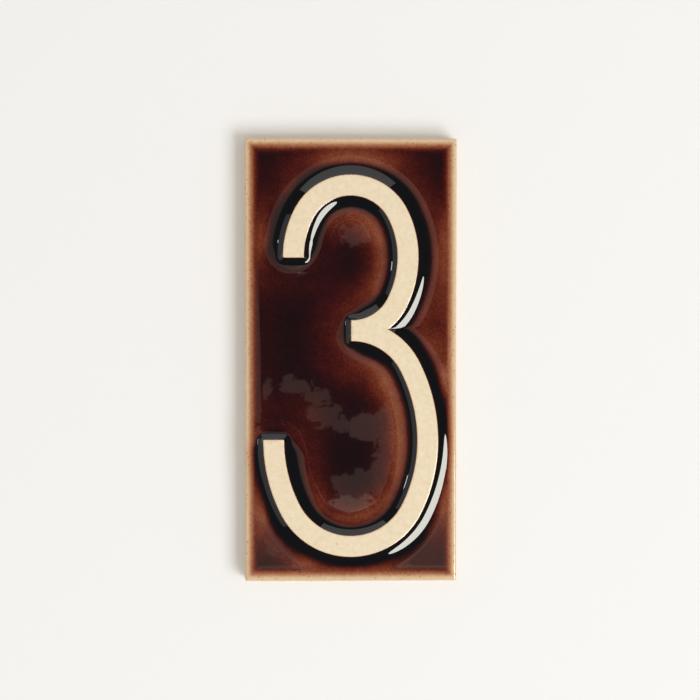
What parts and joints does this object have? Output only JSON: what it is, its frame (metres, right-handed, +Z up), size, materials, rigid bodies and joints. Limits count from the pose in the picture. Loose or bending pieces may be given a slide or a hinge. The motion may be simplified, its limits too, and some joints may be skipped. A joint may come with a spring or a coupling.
{
  "type": "house number plaque",
  "caption": "Upright rectangular glazed ceramic house number tile with a raised numeral whose flat bare-clay top stands above the glaze on coved walls.",
  "frame": {"origin": "centre of the tile's flat back face, where it lies on the wall", "axes": "+Z up along the long side, +X to the right as seen from the front, +Y into the wall, so the numeral faces -Y"},
  "size_m": [0.102, 0.0125, 0.213],
  "materials": {
    "glazed_stoneware": "glossy dark amber-brown glaze over cream clay, with the numeral's flat top and the rim left pale"
  },
  "bodies": {
    "root": {"number_tile": "glazed_stoneware"}
  },
  "joints": []
}
